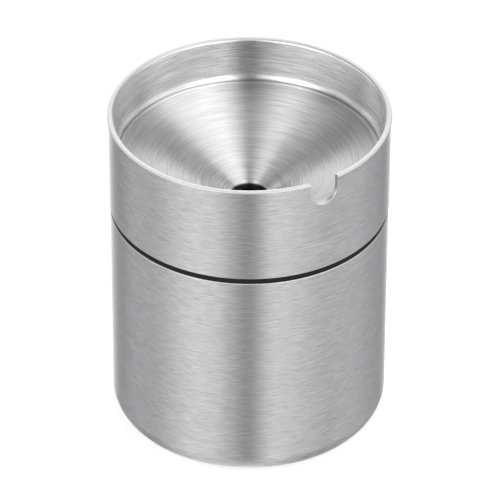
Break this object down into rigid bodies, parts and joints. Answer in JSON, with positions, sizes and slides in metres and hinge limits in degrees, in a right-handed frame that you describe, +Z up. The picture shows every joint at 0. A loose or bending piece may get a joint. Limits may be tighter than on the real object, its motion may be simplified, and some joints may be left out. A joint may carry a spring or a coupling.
{
  "type": "tabletop ashtray",
  "caption": "Cylindrical brushed steel tabletop ashtray: a funnel head with a notched rim sits on a seal in a round ash container and lifts off.",
  "frame": {"origin": "centre of the face that the ashtray stands on", "axes": "+Z up along the cylinder's axis; -Y points out through the cigarette rest"},
  "size_m": [0.0906, 0.0905, 0.112],
  "materials": {
    "brushed_steel_body": "fine brushing round the body, clear satin",
    "brushed_steel_dish": "turned brushing in rings about the ash hole",
    "plain_steel": "mill finish, drawn sheet",
    "rubber_seal": "matte moulded silicone",
    "rubber_pad": "matte, finely textured"
  },
  "bodies": {
    "container": {"container": "brushed_steel_body", "base_pad": "rubber_pad"},
    "seal": {"seal_ring": "rubber_seal"},
    "head": {"plug_collar": "plain_steel", "head_tube": "brushed_steel_body", "funnel_dish": "brushed_steel_dish"}
  },
  "joints": [
    {"name": "head_lift", "type": "slide", "parent": "container", "child": "seal", "axis": [0, 0, 1], "range_m": [0, 0.06]},
    {"name": "head_turn", "type": "hinge", "parent": "seal", "child": "head", "pos_m": [0, 0, 0.078], "axis": [0, 0, 1], "continuous": true}
  ]
}
